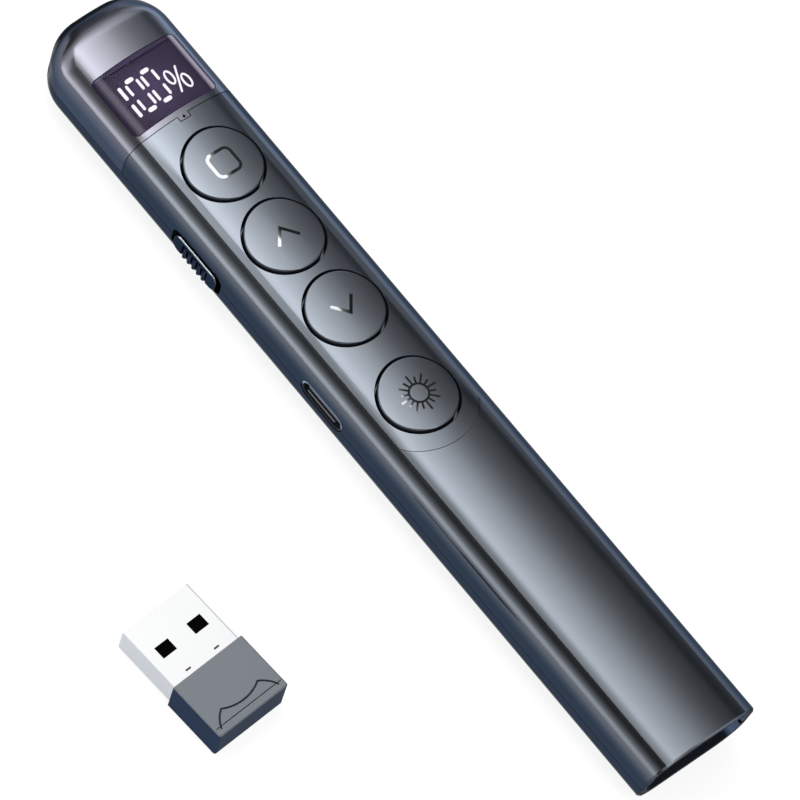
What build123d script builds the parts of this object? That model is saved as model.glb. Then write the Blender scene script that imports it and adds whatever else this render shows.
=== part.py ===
from build123d import *
import math
import os

# Wireless presentation clicker with its USB receiver, in millimetres.
# It lies on its back: +Z points out of the key face, +Y towards the laser end (the head),
# +X to the right of the keys. The origin is on the rest face at mid-length.

ON = (Align.CENTER, Align.CENTER, Align.MIN)

# Casing
LENGTH = 138.5           # head tip to the front edge of the tail
WIDTH = 19.4
THICKNESS = 13.0         # at the crest of the crowned key face
CROWN_RADIUS = 24.0      # key face, across
FRONT_ROUND = 3.6        # edge between the key face and the walls
BACK_ROUND = 4.5         # edge between the back and the walls
HEAD_CORNER = 7.0        # corners of the head, seen from the front
WALL = 1.5
BACK_HEIGHT = 5.7        # rest face to the parting line
REVEAL = 0.12            # open line between the shells
LIP_WALL = 0.7           # the back shell's lip stands inside the front wall
LIP_HEIGHT = 1.0
TAIL_SLANT = 7.4         # degrees, the front edge of the tail is the longer one
TAIL_BEVEL = 0.25        # round the rim of the open tail
TAIL_RECESS = 4.0        # tail end to the mouth of the receiver bay
RUN_OUT = 6.0            # tools that cut the open tail reach this far past it
SNUG = 0.05              # clearance between fitted pieces
LOOSE = 0.1              # clearance between pieces laid beside each other

# Head cover, display, indicator and laser
COVER_LENGTH = 21.46     # head tip to the seam
TONGUE_WIDTH = 1.7       # the cover's tongue into the front shell
TONGUE_LENGTH = 0.7
PINHOLE_D = 0.45
PINHOLE_FROM_SEAM = 0.28
JOGGLE = 1.2             # the cover's inner lip reaches this far under the front shell
JOGGLE_WALL = 0.7
JOGGLE_ROOT = 0.6        # the lip's root inside the cover
LENS_FROM_TIP = 15.13    # head tip to the lens centre
LENS_WIDTH = 14.7
LENS_LENGTH = 10.4
LENS_CORNER = 0.8
LENS_DEPTH = 2.25        # crest of the key face to the lens underside
LENS_GAP = 0.12
DIGIT_Y = 0.24           # middle of the digits above the lens centre
DIGITS_RISE = 0.15       # segments above the display frame
ONE_X = -3.97
ONE_RISE = (-1.74, 1.46) # middles of the two bars of the figure 1
ONE_BAR = (2.25, 0.46)   # length and width
ZERO_X = (-1.95, 0.76)
ZERO_SPREAD = (0.94, 2.7)        # middle of a zero to its posts and to its caps
ZERO_POST = (1.85, 0.36)
ZERO_CAP = (1.35, 0.62)
PERCENT_X = 3.97
PERCENT_Y = -0.72
PERCENT_RING = (1.3, 2.5)
PERCENT_SPREAD = (1.78, 1.65)    # between the middles of the two rings
PERCENT_SLASH = (1.7, 4.0)
PERCENT_STROKE = 0.26
DISPLAY_FRAME = 0.8      # thickness of the frame around the segments
DISPLAY_BOARD = 0.6
DISPLAY_SIDE = 0.9       # display board to the side walls
LASER_D = 5.0
LASER_LENGTH = 10.0
LASER_SETBACK = 2.6      # head tip to the front of the laser barrel
LASER_BORE_D = 2.8
LASER_LENS = 0.8
BEZEL_D = 3.8
BEZEL_SETBACK = 0.15
CRADLE_WIDTH = 7.0
CRADLE_WALL = 1.2
CRADLE_PITCH = 5.2
LIGHT_PIPE_D = 1.2

# Keys and the switches under them
FIRST_KEY = 9.35         # seam to the first key
KEY_PITCH = 13.73
SPOT_PITCH = 16.34       # third key to the last one
KEY_D = 11.5
KEY_GAP = 0.35
KEY_RAISE = 0.3          # key face above the crown
KEY_EDGE = 0.2
KEY_TRAVEL = 0.4
FLANGE_D = 13.2
FLANGE = 1.0
STEM_D = 4.0
HOLE_BEVEL = 0.08
ICON_DEPTH = 0.25
ICON_PROUD = 0.02
ICON_STROKE = 0.47
WINDOW_ICON = 4.35
WINDOW_CORNER = 1.15
CHEVRON_HALF = 1.85
CHEVRON_REACH = 2.3
SUN_RING = 1.6           # outer radius
SUN_STROKE = 0.32
SUN_LONG = 3.05
SUN_SHORT = 2.55
SUN_RAY = 0.3
SUN_RAYS = 16
TACT_SIDE = 6.0
TACT_HEIGHT = 2.4
PLUNGER_D = 3.4
PLUNGER_RISE = 0.9
PLUNGER_DEPTH = 0.8
ARC_RADIUS = 8.75        # engraved line, round the last key
ARC_WIDTH = 0.18
ARC_DEPTH = 0.12
ARC_HALF = 7.2           # half its width across the key face

# Main board and what stands on it
BOARD = 1.0
BOARD_CORNER = 1.0
BOARD_SIDE = 0.35        # board edge to the side walls
BOARD_FROM_TIP = 17.3    # head tip to the board
BOARD_PAST_KEY = 10.0    # the board ends this far past the last key
BOSS_D = 3.8
BOSS_FROM_WALL = 2.9
BOSS_FROM_END = 2.5
SCREW_D = 1.6
SCREW_HEAD_D = 2.8
SCREW_HEAD = 0.7
SCREW_LENGTH = 2.6
SCREW_CROSS = (1.6, 0.35, 0.6)
RADIO_CHIP = 5.0
CHARGE_CHIP = 3.0
CRYSTAL_SIDE = 2.5
CHIP_HEIGHT = 0.9
PASSIVE = 0.6
PASSIVE_COUNT = 9
LED_SIDE = 1.0
LED_HEIGHT = 0.6
CONNECTOR_WIDTH = 6.0
CONNECTOR = 1.2

# Power slider and its switch
SLIDER_FROM_SEAM = 16.94
SLOT_LENGTH = 10.9
SLOT_HEIGHT = 3.9
SLOT_CORNER = 1.2
KNOB_HEIGHT = 3.4
KNOB_PROUD = 0.4
KNOB_END = 0.075         # left between knob and slot at the end of the travel
SLIDE_TRAVEL = 0.7       # each way from the middle
RIB_COUNT = 5
RIB_PITCH = 1.06
RIB_RADIUS = 0.36
RIB_PROUD = 0.12
GRIP_DEPTH = 0.3
GRIP_LIP = 0.6           # plain edge left above the ribs
PLATE_LENGTH = 12.6      # plate behind the slot
PLATE_HEIGHT = 4.5
PLATE = 0.8
PLATE_GAP = 0.3
SLIDE_SWITCH = (2.7, 6.7, 1.4)
LEVER_WIDTH = 1.4
LEVER_HEIGHT = 0.8
LEVER_OUT = 1.0
LEVER_IN = 1.0

# Charging port, midway between the last two keys
PORT_WIDTH = 8.94
PORT_HEIGHT = 3.2
PORT_DEPTH = 7.3
PORT_SHEET = 0.3
PORT_SETBACK = 0.12      # mouth behind the side wall
PORT_TONGUE = (4.4, 6.7, 0.7)
PORT_BACK = 2.4
PORT_CONTACTS = 12
PORT_CONTACT_PITCH = 0.5
PORT_CONTACT = (3.4, 0.25, 0.05)

# Battery
BATTERY_HEIGHT = 6.6
BATTERY_ROUND = 0.8
BATTERY_SIDE = 1.6       # battery to the side walls
BATTERY_END = 0.6        # battery to the board and to the receiver bay
BATTERY_PAD = 0.8
PAD_WIDTH = 9.6
TAB_WIDTH = 2.0
TAB = 0.15
TAB_FOOT = 1.5

# Receiver
CAP_WIDTH = 12.8
CAP_LENGTH = 9.6
CAP_HEIGHT = 5.6
CAP_CORNER = 0.35
CAP_WALL = 1.2           # closed end of the cap
GRIP_LINE = 0.14
GRIP_LINE_UP = 1.2       # from the cap's closed end
GRIP_ARCH = 0.3          # width of the engraved thumb outline
GRIP_CUT = 0.15
GRIP_FOOT = (1.0, 0.85)  # from the cap's side and from its closed end
GRIP_SHOULDER = (3.0, 3.1)
GRIP_DIP = 2.2
GRIP_BULGE = 0.25        # of the outline's two ends
PLUG_WIDTH = 12.0
PLUG_HEIGHT = 4.5
PLUG_LENGTH = 10.7       # outside the cap
PLUG_ROOT = 3.0          # inside the cap
PLUG_SHEET = 0.3
WINDOW = (2.5, 2.0)
WINDOW_PITCH = 6.0
WINDOW_FROM_CAP = 5.2
SLIT = (0.9, 0.3)
SLIT_PITCH = 5.3
SLIT_FROM_CAP = 0.95
PLUG_TONGUE = 1.84
PLUG_SETBACK = 0.9
PLUG_CONTACTS = 4
PLUG_CONTACT_PITCH = 2.3
PLUG_CONTACT = (1.0, 7.0, 0.1)
DONGLE_BOARD = 0.8
DONGLE_CHIP = (4.0, 4.0, 0.9)
BAY_CLEAR = 0.3          # receiver to the walls of its bay
BAY_END = 1.2            # closed end of the bay
DONGLE_X = -46.92        # where the receiver lies, at the joint of plug and cap
DONGLE_Y = -18.6
DONGLE_TURN = 4.0        # degrees

# Places that follow from the sizes above
HEAD_END = LENGTH / 2
TAIL_END = -LENGTH / 2
WALL_X = WIDTH / 2
INNER_X = WALL_X - WALL
SEAM_Y = HEAD_END - COVER_LENGTH
LENS_Y = HEAD_END - LENS_FROM_TIP
KEY_Y = [SEAM_Y - FIRST_KEY - KEY_PITCH * n for n in range(3)]
KEY_Y.append(KEY_Y[2] - SPOT_PITCH)
KEYS = ["window", "page_up", "page_down", "spotlight"]
SLIDER_Y = SEAM_Y - SLIDER_FROM_SEAM
PORT_Y = (KEY_Y[2] + KEY_Y[3]) / 2
PINHOLE_Y = SEAM_Y - PINHOLE_FROM_SEAM
CROWN_Z = THICKNESS - CROWN_RADIUS
FLANGE_TOP = CROWN_Z + math.sqrt((CROWN_RADIUS - WALL) ** 2 - (FLANGE_D / 2) ** 2) - 2 * LOOSE
FLANGE_BOTTOM = FLANGE_TOP - FLANGE
BOARD_TOP = BACK_HEIGHT - SLIDE_SWITCH[2] / 2
BOARD_BOTTOM = BOARD_TOP - BOARD
BOARD_HEAD = HEAD_END - BOARD_FROM_TIP
BOARD_TAIL = KEY_Y[3] - BOARD_PAST_KEY
TACT_TOP = BOARD_TOP + TACT_HEIGHT
PLUNGER_TOP = TACT_TOP + PLUNGER_RISE
LENS_BOTTOM = THICKNESS - LENS_DEPTH
FRAME_TOP = LENS_BOTTOM - LOOSE - DIGITS_RISE
FRAME_BOTTOM = FRAME_TOP - DISPLAY_FRAME
DISPLAY_BOTTOM = FRAME_BOTTOM - DISPLAY_BOARD
LASER_Z = (WALL + DISPLAY_BOTTOM) / 2
LASER_FRONT = HEAD_END - LASER_SETBACK
LASER_MID = LASER_FRONT - LASER_LENGTH / 2
BAY_MOUTH = TAIL_END + TAIL_RECESS
DONGLE_LENGTH = CAP_LENGTH + PLUG_LENGTH
BAY_DEPTH = DONGLE_LENGTH - TAIL_RECESS / 2
BAY_HEAD = BAY_MOUTH + BAY_DEPTH + BAY_END
BATTERY_HEAD = BOARD_TAIL - BATTERY_END
BATTERY_TAIL = BAY_HEAD + BATTERY_END
BATTERY_BOTTOM = WALL + BATTERY_PAD


def box_between(low, high):
    size = [b - a for a, b in zip(low, high)]
    middle = [(a + b) / 2 for a, b in zip(low, high)]
    return Pos(*middle) * Box(*size)


def crown(offset):
    """A long bar whose top is the key face moved out by offset."""
    return Pos(0, 0, CROWN_Z) * Rot(90, 0, 0) * Cylinder(CROWN_RADIUS + offset, 2 * LENGTH)


def casing(inset):
    """The casing's outer shape moved in by inset, and running past the tail."""
    tail = TAIL_END - RUN_OUT
    width = WIDTH - 2 * inset
    length = HEAD_END - inset - tail
    plan = Pos(0, tail + length / 2, inset) * Rectangle(width, length)
    plan = fillet(plan.vertices().group_by(Axis.Y)[-1], HEAD_CORNER - inset)
    body = extrude(plan, THICKNESS) & crown(-inset)
    for side, radius in ((-1, FRONT_ROUND), (0, BACK_ROUND)):
        rim = body.faces().sort_by(Axis.Z)[side].edges()
        body = fillet(rim.filter_by(lambda e: e.center().Y > tail + LOOSE), radius - inset)
    return body


def tail_cut():
    """All that lies behind the slanted tail end."""
    reach = 4 * WIDTH
    edge = Pos(0, TAIL_END, THICKNESS) * Rot(TAIL_SLANT, 0, 0)
    return edge * Pos(0, -reach / 2, 0) * Box(reach, reach, reach)


def above(z):
    return box_between((-WIDTH, TAIL_END - 2 * RUN_OUT, z), (WIDTH, HEAD_END + RUN_OUT, 2 * THICKNESS))


def stretch(low_y, high_y):
    """A slice of space between two places along the length."""
    return box_between((-WIDTH, low_y, -THICKNESS), (WIDTH, high_y, 2 * THICKNESS))


def case():
    """The casing as a whole, with its slanted tail end bevelled round the rim."""
    body = OUTER - tail_cut()
    return chamfer(body.faces().sort_by(Axis.Y)[0].edges(), TAIL_BEVEL)


OUTER = casing(0)
CASE = case()
INNER = casing(WALL)
LIP_OUTSIDE = casing(WALL - LIP_WALL)


def slider_slot(grow):
    """The slot in the left wall, over the parting line."""
    slot = RectangleRounded(SLOT_LENGTH + grow, SLOT_HEIGHT + grow, SLOT_CORNER)
    side = Plane(origin=(-WALL_X, SLIDER_Y, BACK_HEIGHT), x_dir=(0, 1, 0), z_dir=(1, 0, 0))
    return extrude(side * slot, WALL + LOOSE, both=True)


def port_outline(grow):
    return SlotOverall(PORT_WIDTH + 2 * grow, PORT_HEIGHT + 2 * grow)


PORT_Z = BOARD_TOP + PORT_HEIGHT / 2
PORT_MOUTH = -WALL_X + PORT_SETBACK
PORT_PLANE = Plane(origin=(PORT_MOUTH, PORT_Y, PORT_Z), x_dir=(0, 1, 0), z_dir=(1, 0, 0))


def side_openings():
    port = extrude(PORT_PLANE * port_outline(LOOSE), 2 * WALL, both=True)
    return slider_slot(0) + port


def laser_bore(diameter, front, back):
    length = front - back
    return Pos(0, (front + back) / 2, LASER_Z) * Rot(90, 0, 0) * Cylinder(diameter / 2, length)


OPENINGS = side_openings() + laser_bore(BEZEL_D + 2 * SNUG, HEAD_END + RUN_OUT, LASER_FRONT)


def screw_places():
    x = INNER_X - BOSS_FROM_WALL
    ends = (BOARD_HEAD - BOSS_FROM_END, BOARD_TAIL + BOSS_FROM_END)
    return [(side * x, y) for side in (-1, 1) for y in ends]


def back_shell():
    shell = CASE - INNER - above(BACK_HEIGHT)
    lip = (LIP_OUTSIDE - INNER) & above(BACK_HEIGHT - LOOSE)
    lip = lip - above(BACK_HEIGHT + LIP_HEIGHT)
    shell = shell + (lip & stretch(BAY_MOUTH, HEAD_END))
    floor = WALL - LOOSE
    for x, y in screw_places():
        boss = Pos(x, y, floor) * Cylinder(BOSS_D / 2, BOARD_BOTTOM - floor, align=ON)
        hole = Pos(x, y, BOARD_TOP - SCREW_LENGTH - LOOSE) * Cylinder(
            SCREW_D / 2 + SNUG, SCREW_LENGTH, align=ON)
        shell = shell + (boss & LIP_OUTSIDE) - hole
    for side in (-1, 1):
        y = LASER_MID + side * CRADLE_PITCH / 2
        rib = box_between((-CRADLE_WIDTH / 2, y - CRADLE_WALL / 2, floor),
                          (CRADLE_WIDTH / 2, y + CRADLE_WALL / 2, LASER_Z))
        shell = shell + (rib & LIP_OUTSIDE)
    barrel = laser_bore(LASER_D + 2 * SNUG, LASER_FRONT, LASER_FRONT - LASER_LENGTH)
    return shell - barrel - OPENINGS


def tongue(grow):
    """The tongue of the head cover, seen from the front."""
    low = SEAM_Y - TONGUE_LENGTH - grow
    half = TONGUE_WIDTH / 2 + grow
    return box_between((-half, low, BACK_HEIGHT), (half, SEAM_Y + REVEAL + LOOSE, 2 * THICKNESS))


def front_half():
    """Both front pieces in one, without their openings."""
    half = (CASE - INNER) & above(BACK_HEIGHT + REVEAL)
    rebate = casing(WALL - LIP_WALL - SNUG) - above(BACK_HEIGHT + LIP_HEIGHT)
    return half - rebate - OPENINGS


FRONT_HALF = front_half()


def engraved_arc():
    ring = Circle(ARC_RADIUS + ARC_WIDTH / 2) - Circle(ARC_RADIUS - ARC_WIDTH / 2)
    lower = Pos(0, -ARC_RADIUS) * Rectangle(2 * ARC_HALF, 2 * ARC_RADIUS)
    band = Pos(0, KEY_Y[3], BACK_HEIGHT) * (ring & lower)
    return extrude(band, 2 * THICKNESS) - crown(-ARC_DEPTH)


def key_rims(shell):
    """The edges where the key holes come out of the key face."""
    radius = KEY_D / 2 + KEY_GAP

    def outside(edge):
        spot = edge @ 0.5
        high = math.hypot(spot.X, spot.Z - CROWN_Z) > CROWN_RADIUS - WALL / 4
        return high and any(abs(math.hypot(spot.X, spot.Y - y) - radius) < SNUG for y in KEY_Y)

    return shell.edges().filter_by(outside)


def front_shell():
    shell = FRONT_HALF & stretch(TAIL_END - RUN_OUT, SEAM_Y)
    for y in KEY_Y:
        shell = shell - Pos(0, y, BACK_HEIGHT) * Cylinder(KEY_D / 2 + KEY_GAP, THICKNESS, align=ON)
    return chamfer(key_rims(shell), HOLE_BEVEL) - tongue(REVEAL) - engraved_arc()


def lens_prism(grow, low):
    plan = RectangleRounded(LENS_WIDTH + 2 * grow, LENS_LENGTH + 2 * grow, LENS_CORNER + grow)
    return extrude(Pos(0, LENS_Y, low) * plan, 2 * THICKNESS)


def head_cover():
    cover = FRONT_HALF & (stretch(SEAM_Y + REVEAL, HEAD_END + RUN_OUT) + tongue(0))
    joint = BACK_HEIGHT + LIP_HEIGHT + LOOSE
    under = (casing(WALL + SNUG) - casing(WALL + JOGGLE_WALL)) & above(joint)
    root = (casing(WALL - LOOSE) - casing(WALL + JOGGLE_WALL)) & above(joint)
    cover = cover + (under & stretch(SEAM_Y - JOGGLE, SEAM_Y + JOGGLE_ROOT))
    cover = cover + (root & stretch(SEAM_Y + REVEAL, SEAM_Y + JOGGLE_ROOT))
    pinhole = Pos(0, PINHOLE_Y, BACK_HEIGHT) * Cylinder(PINHOLE_D / 2, THICKNESS, align=ON)
    return cover - pinhole - lens_prism(LENS_GAP, FRAME_BOTTOM + LOOSE)


def display_lens():
    return lens_prism(0, LENS_BOTTOM) & OUTER


def display_frame():
    return Pos(0, LENS_Y, FRAME_BOTTOM) * Box(
        LENS_WIDTH - 4 * LENS_GAP, LENS_LENGTH - 4 * LENS_GAP, DISPLAY_FRAME, align=ON)


def display_board():
    width = 2 * (INNER_X - DISPLAY_SIDE)
    return Pos(0, LENS_Y, DISPLAY_BOTTOM) * Box(width, LENS_LENGTH + 4 * LOOSE, DISPLAY_BOARD, align=ON)


def upright(size):
    return Rot(0, 0, 90) * SlotOverall(*size)


def figure_one():
    return [Pos(0, rise) * upright(ONE_BAR) for rise in ONE_RISE]


def figure_zero():
    side, top = ZERO_SPREAD
    posts = [Pos(x, y) * upright(ZERO_POST) for x in (-side, side) for y in (-top / 2, top / 2)]
    return posts + [Pos(0, y) * SlotOverall(*ZERO_CAP) for y in (-top, top)]


def percent_sign():
    wide, high = (size / 2 for size in PERCENT_RING)
    ring = Ellipse(wide, high) - Ellipse(wide - PERCENT_STROKE, high - PERCENT_STROKE)
    run, rise = PERCENT_SLASH
    turn = Rot(0, 0, math.degrees(math.atan2(rise, run)))
    slash = turn * SlotOverall(math.hypot(run, rise), PERCENT_STROKE)
    side, up = (size / 2 for size in PERCENT_SPREAD)
    return [Pos(-side, up) * ring, slash, Pos(side, -up) * ring]


def display_digits():
    """The lit readout 100%, as thin raised segments."""
    shapes = [Pos(PERCENT_X, PERCENT_Y) * shape for shape in percent_sign()]
    shapes += [Pos(ONE_X, DIGIT_Y) * shape for shape in figure_one()]
    for x in ZERO_X:
        shapes += [Pos(x, DIGIT_Y) * shape for shape in figure_zero()]
    return [Pos(0, LENS_Y, FRAME_TOP) * extrude(shape, DIGITS_RISE) for shape in shapes]


def display_connector():
    y = LENS_Y - LENS_LENGTH / 2 + CONNECTOR
    return Pos(0, y, BOARD_TOP) * Box(CONNECTOR_WIDTH, CONNECTOR, DISPLAY_BOTTOM - BOARD_TOP, align=ON)


INDICATOR_TOP = THICKNESS - WALL - JOGGLE_WALL - LOOSE


def indicator_led():
    return Pos(0, PINHOLE_Y, BOARD_TOP) * Box(LED_SIDE, LED_SIDE, LED_HEIGHT, align=ON)


def indicator_light_pipe():
    bottom = BOARD_TOP + LED_HEIGHT + SNUG
    return Pos(0, PINHOLE_Y, bottom) * Cylinder(LIGHT_PIPE_D / 2, INDICATOR_TOP - bottom, align=ON)


def laser_barrel():
    barrel = laser_bore(LASER_D, LASER_FRONT, LASER_FRONT - LASER_LENGTH)
    seat = laser_bore(LASER_BORE_D, LASER_FRONT, LASER_FRONT - LASER_LENGTH / 2)
    return barrel - seat


def laser_lens():
    return laser_bore(LASER_BORE_D, LASER_FRONT - LOOSE, LASER_FRONT - LOOSE - LASER_LENS)


def laser_bezel():
    ring = laser_bore(BEZEL_D, HEAD_END - BEZEL_SETBACK, LASER_FRONT)
    return ring - laser_bore(LASER_BORE_D, HEAD_END, LASER_FRONT)


def chevron(turn):
    """An arrowhead with square ends, pointing towards the head at turn 0."""
    half = ICON_STROKE / 2
    low = -CHEVRON_REACH / 2
    high = CHEVRON_REACH / 2
    size = math.hypot(CHEVRON_HALF, CHEVRON_REACH)
    dx = CHEVRON_HALF / size
    dy = CHEVRON_REACH / size
    outer = (CHEVRON_HALF + dy * half, low + dx * half)
    inner = (CHEVRON_HALF - dy * half, low - dx * half)
    tip = half / dx
    points = [(0, high + tip), outer, inner, (0, high - tip), (-inner[0], inner[1]), (-outer[0], outer[1])]
    return Rot(0, 0, turn) * make_face(Polyline(*points, close=True))


def window_icon():
    inside = WINDOW_ICON - 2 * ICON_STROKE
    return RectangleRounded(WINDOW_ICON, WINDOW_ICON, WINDOW_CORNER) - RectangleRounded(
        inside, inside, WINDOW_CORNER - ICON_STROKE)


def sun_icon():
    icon = Circle(SUN_RING)
    for n in range(SUN_RAYS):
        reach = SUN_SHORT if n % 2 else SUN_LONG
        icon = icon + Rot(0, 0, 360 / SUN_RAYS * n) * Pos(reach / 2, 0) * Rectangle(reach, SUN_RAY)
    return icon - Circle(SUN_RING - SUN_STROKE)


ICONS = [window_icon(), chevron(0), chevron(180), sun_icon()]


def key_icon(n):
    face = crown(KEY_RAISE + ICON_PROUD) - crown(KEY_RAISE - ICON_DEPTH)
    return extrude(Pos(0, KEY_Y[n], FLANGE_TOP) * ICONS[n], THICKNESS) & face


def key_button(n):
    y = KEY_Y[n]
    cap = Pos(0, y, FLANGE_TOP - LOOSE) * Cylinder(KEY_D / 2, THICKNESS, align=ON)
    cap = cap & crown(KEY_RAISE)
    cap = fillet(cap.faces().sort_by(Axis.Z)[-1].edges(), KEY_EDGE)
    flange = Pos(0, y, FLANGE_BOTTOM) * Cylinder(FLANGE_D / 2, FLANGE, align=ON)
    stem = Pos(0, y, PLUNGER_TOP) * Cylinder(STEM_D / 2, FLANGE_TOP - PLUNGER_TOP, align=ON)
    return cap + flange + stem - key_icon(n)


def switch_plunger(y):
    bottom = TACT_TOP - PLUNGER_DEPTH
    return Pos(0, y, bottom) * Cylinder(PLUNGER_D / 2, PLUNGER_TOP - bottom, align=ON)


def switch_base(y):
    base = Pos(0, y, BOARD_TOP) * Box(TACT_SIDE, TACT_SIDE, TACT_HEIGHT, align=ON)
    depth = PLUNGER_DEPTH + KEY_TRAVEL + LOOSE
    well = Pos(0, y, TACT_TOP - depth) * Cylinder(PLUNGER_D / 2 + SNUG, TACT_HEIGHT, align=ON)
    return base - well


def main_board():
    half = INNER_X - BOARD_SIDE
    board = box_between((-half, BOARD_TAIL, BOARD_BOTTOM), (half, BOARD_HEAD, BOARD_TOP))
    board = fillet(board.edges().filter_by(Axis.Z), BOARD_CORNER)
    half = PLATE_LENGTH / 2 + SLIDE_TRAVEL + 3 * LOOSE
    notch = box_between((-WIDTH, SLIDER_Y - half, 0), (PLATE_INSIDE + LOOSE, SLIDER_Y + half, THICKNESS))
    for x, y in screw_places():
        board = board - Pos(x, y, 0) * Cylinder(SCREW_D / 2 + SNUG, THICKNESS, align=ON)
    return board - notch


def board_screws():
    shank = Pos(0, 0, -SCREW_LENGTH) * Cylinder(SCREW_D / 2, SCREW_LENGTH + LOOSE, align=ON)
    screw = shank + Cylinder(SCREW_HEAD_D / 2, SCREW_HEAD, align=ON)
    for turn in (0, 90):
        screw = screw - Pos(0, 0, SCREW_HEAD) * Rot(0, 0, turn) * Box(*SCREW_CROSS)
    return [Pos(x, y, BOARD_TOP) * screw for x, y in screw_places()]


def chip(x, y, side):
    return Pos(x, y, BOARD_TOP) * Box(side, side, CHIP_HEIGHT, align=ON)


def board_passives():
    """A row of small parts along the right edge, between the second and the last key."""
    x = INNER_X - BOARD_SIDE - 2 * PASSIVE
    step = (KEY_Y[1] - KEY_Y[3]) / PASSIVE_COUNT
    part = Pos(x, KEY_Y[3] + step / 2, BOARD_TOP) * Box(PASSIVE, 2 * PASSIVE, PASSIVE, align=ON)
    return [Pos(0, step * n, 0) * part for n in range(PASSIVE_COUNT)]


PLATE_OUTSIDE = -INNER_X + PLATE_GAP
PLATE_INSIDE = PLATE_OUTSIDE + PLATE
SWITCH_FACE = PLATE_INSIDE + 2 * LOOSE
LEVER_TIP = SWITCH_FACE - LEVER_OUT


def lever_box(grow, inside):
    half_y = LEVER_WIDTH / 2 + grow
    half_z = LEVER_HEIGHT / 2 + grow
    return box_between((LEVER_TIP - grow, SLIDER_Y - half_y, BACK_HEIGHT - half_z),
                       (inside, SLIDER_Y + half_y, BACK_HEIGHT + half_z))


def power_slider():
    length = SLOT_LENGTH - 2 * (SLIDE_TRAVEL + KNOB_END)
    face = -WALL_X - KNOB_PROUD
    side = Plane(origin=(face, SLIDER_Y, BACK_HEIGHT), x_dir=(0, 1, 0), z_dir=(1, 0, 0))
    knob = extrude(side * RectangleRounded(length, KNOB_HEIGHT, SLOT_CORNER), PLATE_OUTSIDE - face + SNUG)
    knob = fillet(knob.faces().sort_by(Axis.X)[0].edges(), KNOB_PROUD / 2)
    grip = RIB_COUNT * RIB_PITCH / 2 + LOOSE
    lip = BACK_HEIGHT + KNOB_HEIGHT / 2 - GRIP_LIP
    knob = knob - box_between((face - LOOSE, SLIDER_Y - grip, 0),
                              (face + GRIP_DEPTH, SLIDER_Y + grip, lip))
    for n in range(RIB_COUNT):
        y = SLIDER_Y + (n - (RIB_COUNT - 1) / 2) * RIB_PITCH
        knob = knob + Pos(face - RIB_PROUD + RIB_RADIUS, y, BACK_HEIGHT - GRIP_LIP / 2) * Cylinder(
            RIB_RADIUS, KNOB_HEIGHT - GRIP_LIP - 2 * LOOSE)
    plate = box_between((PLATE_OUTSIDE, SLIDER_Y - PLATE_LENGTH / 2, BACK_HEIGHT - PLATE_HEIGHT / 2),
                        (PLATE_INSIDE, SLIDER_Y + PLATE_LENGTH / 2, BACK_HEIGHT + PLATE_HEIGHT / 2))
    return knob + plate - lever_box(SNUG, 0)


def slide_switch_lever():
    return lever_box(0, SWITCH_FACE + LEVER_IN)


def slide_switch_frame():
    deep, long, high = SLIDE_SWITCH
    frame = box_between((SWITCH_FACE, SLIDER_Y - long / 2, BOARD_TOP),
                        (SWITCH_FACE + deep, SLIDER_Y + long / 2, BOARD_TOP + high))
    half_y = LEVER_WIDTH / 2 + SLIDE_TRAVEL + LOOSE
    half_z = LEVER_HEIGHT / 2 + SNUG
    track = box_between((SWITCH_FACE - LOOSE, SLIDER_Y - half_y, BACK_HEIGHT - half_z),
                        (SWITCH_FACE + LEVER_IN + LOOSE, SLIDER_Y + half_y, BACK_HEIGHT + half_z))
    return frame - track


def usb_port_shell():
    tube = extrude(PORT_PLANE * port_outline(0), PORT_DEPTH)
    return tube - extrude(PORT_PLANE * port_outline(-PORT_SHEET), PORT_DEPTH)


def port_block(start, width, height, depth):
    return PORT_PLANE * (Pos(0, 0, start) * Box(width, height, depth, align=ON))


def usb_port_tongue():
    reach, width, thick = PORT_TONGUE
    start = PORT_DEPTH - PORT_BACK - reach
    back = extrude(PORT_PLANE * port_outline(-PORT_SHEET - SNUG), PORT_DEPTH)
    back = back & port_block(PORT_DEPTH - PORT_BACK, PORT_WIDTH, PORT_HEIGHT, PORT_BACK)
    return back + port_block(start, width, thick, reach + LOOSE)


def usb_port_contacts():
    reach, width, thick = PORT_CONTACT
    start = PORT_DEPTH - PORT_BACK - reach
    offset = PORT_TONGUE[2] / 2 + thick / 2
    middle = (PORT_CONTACTS - 1) / 2
    return [PORT_PLANE * (Pos((n - middle) * PORT_CONTACT_PITCH, side * offset, start)
                          * Box(width, thick, reach, align=ON))
            for side in (-1, 1) for n in range(PORT_CONTACTS)]


def battery_cell():
    half = INNER_X - BATTERY_SIDE
    cell = box_between((-half, BATTERY_TAIL, BATTERY_BOTTOM),
                       (half, BATTERY_HEAD, BATTERY_BOTTOM + BATTERY_HEIGHT))
    return fillet(cell.edges().filter_by(Axis.Y), BATTERY_ROUND)


def battery_pad():
    return box_between((-PAD_WIDTH / 2, BATTERY_TAIL, WALL), (PAD_WIDTH / 2, BATTERY_HEAD, BATTERY_BOTTOM))


def battery_tabs():
    """Two folded strips from the cell's end to the top of the board."""
    tabs = []
    for side in (-1, 1):
        x = side * (BOSS_D / 2 + LOOSE)
        low = x - TAB_WIDTH / 2
        high = x + TAB_WIDTH / 2
        foot = box_between((low, BOARD_TAIL - TAB - LOOSE, BOARD_TOP),
                           (high, BOARD_TAIL + TAB_FOOT, BOARD_TOP + TAB))
        bend = box_between((low, BATTERY_HEAD, BOARD_TOP), (high, BOARD_TAIL, BOARD_TOP + TAB))
        tabs.append(foot + bend)
    return tabs


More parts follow.
